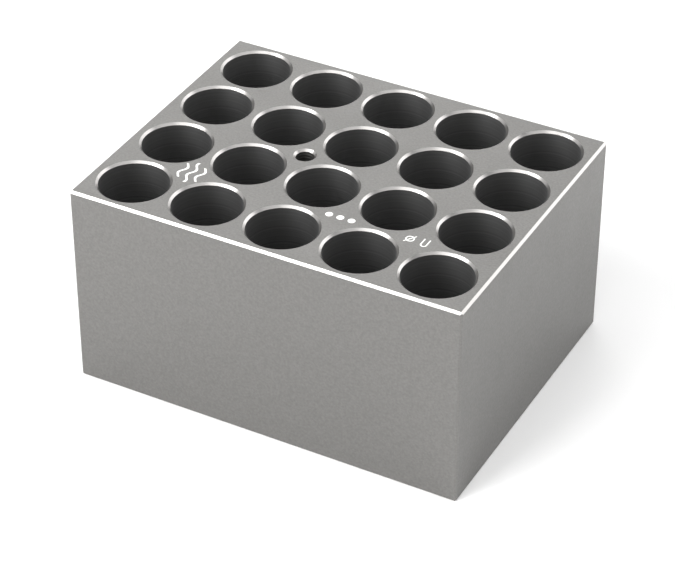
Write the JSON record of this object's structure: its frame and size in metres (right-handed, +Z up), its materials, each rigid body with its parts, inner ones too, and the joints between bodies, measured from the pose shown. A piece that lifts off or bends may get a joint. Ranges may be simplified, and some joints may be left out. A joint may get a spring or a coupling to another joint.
{
  "type": "dry block heater tube block",
  "caption": "Rectangular solid aluminium heating block for a dry block heater, with a grid of vertical blind wells for test tubes and a tapped lifting hole.",
  "frame": {"origin": "centre of the block's underside", "axes": "+X along the long side, +Y to the back, away from the side nearest the marks, +Z up, out of the wells"},
  "size_m": [0.0944, 0.0734, 0.05],
  "materials": {
    "anodised_aluminium": "fine bead blasted and anodised, satin grey",
    "white_enamel": "white enamel in a shallow engraving, satin"
  },
  "bodies": {
    "root": {"heating_block": "anodised_aluminium", "heat_mark_enamel": "white_enamel", "index_mark_enamel": "white_enamel", "size_mark_enamel": "white_enamel"}
  },
  "joints": []
}
